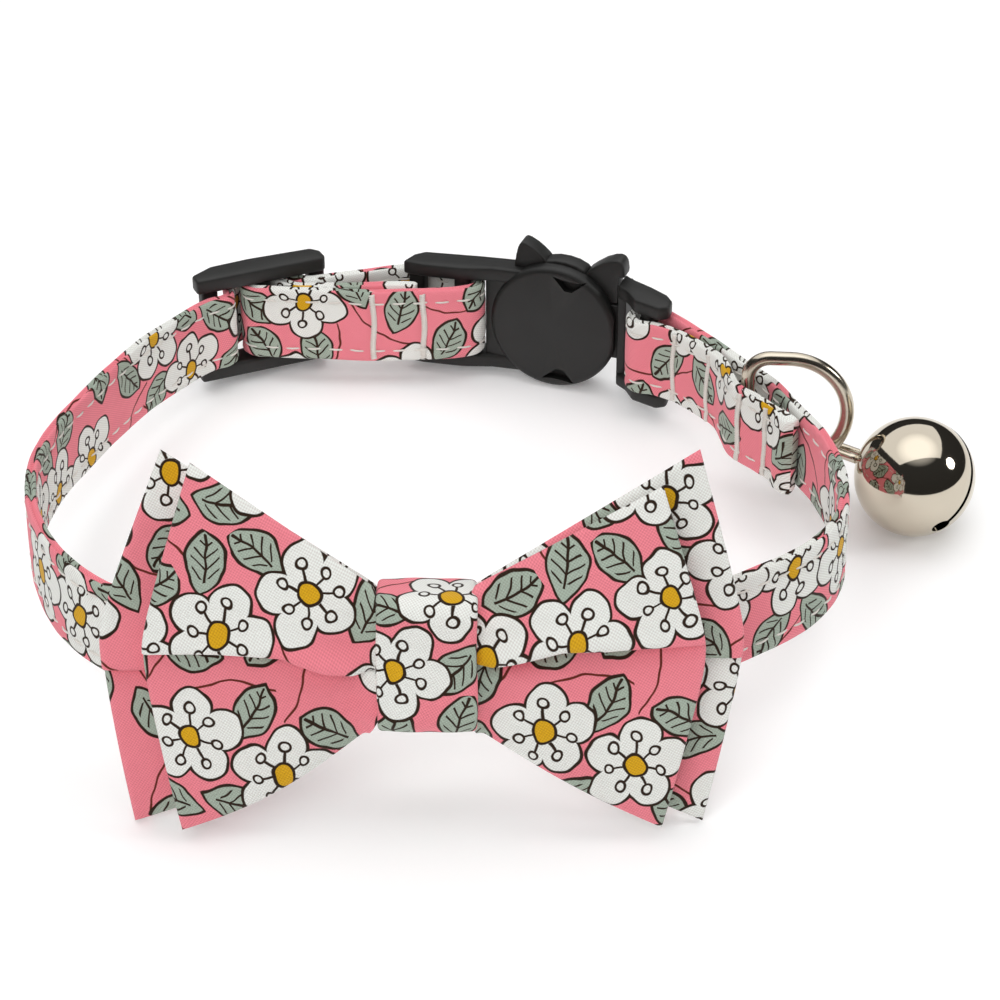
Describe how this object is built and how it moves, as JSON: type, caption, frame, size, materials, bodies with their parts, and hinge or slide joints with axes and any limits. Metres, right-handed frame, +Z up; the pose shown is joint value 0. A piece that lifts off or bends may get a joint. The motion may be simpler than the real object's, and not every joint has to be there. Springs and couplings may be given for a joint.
{
  "type": "pet bow tie collar",
  "caption": "Printed cloth cat collar with a double bow, sliding adjuster, round eared breakaway buckle, and a round bell on a D-ring.",
  "frame": {"origin": "middle of the collar's footprint on the surface that it rests on", "axes": "+Z up, +X along the bow from its left wing to the bell's side, +Y from the bow to the buckle"},
  "size_m": [0.1166, 0.101, 0.0426],
  "materials": {
    "floral_cloth": "plain-woven cotton, matt, printed with a blossom pattern on pink",
    "white_elastic": "ribbed white elastic",
    "black_plastic": "moulded, satin, fine grain",
    "nickel": "polished nickel plate, slightly warm"
  },
  "bodies": {
    "root": {"collar_strap": "floral_cloth", "bow_back": "floral_cloth", "bow_front": "floral_cloth", "bow_knot": "floral_cloth", "bow_elastic": "white_elastic", "adjuster": "black_plastic", "buckle_socket": "black_plastic", "buckle_plug": "black_plastic", "d_ring": "nickel", "bell": "nickel", "bell_ball": "nickel"}
  },
  "joints": []
}
